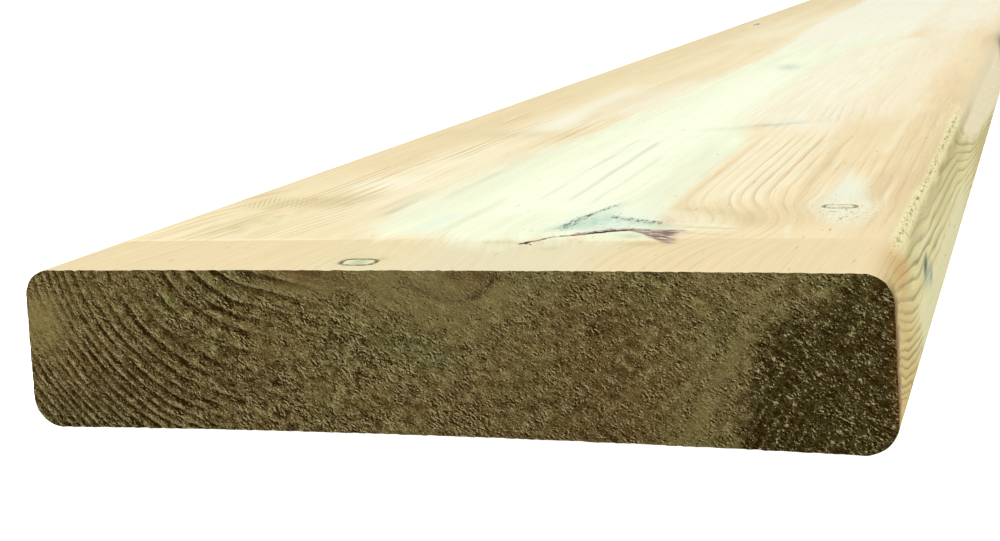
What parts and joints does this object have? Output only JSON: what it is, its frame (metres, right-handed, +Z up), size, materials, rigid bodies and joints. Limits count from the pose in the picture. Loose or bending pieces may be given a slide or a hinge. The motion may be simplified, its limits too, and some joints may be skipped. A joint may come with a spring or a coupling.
{
  "type": "decking board",
  "caption": "Smooth planed softwood decking board with rounded long arrises and square sawn ends, for laying across joists.",
  "frame": {"origin": "centre of the underside, halfway along the board", "axes": "+Y along the grain towards the back end, with the pictured end at -Y; +X across the width; +Z up, out of the top face"},
  "size_m": [0.144, 1.8, 0.027],
  "materials": {
    "treated_softwood": "planed, satin, pale green-tinged pressure treated softwood"
  },
  "bodies": {
    "root": {"decking_board": "treated_softwood"}
  },
  "joints": []
}
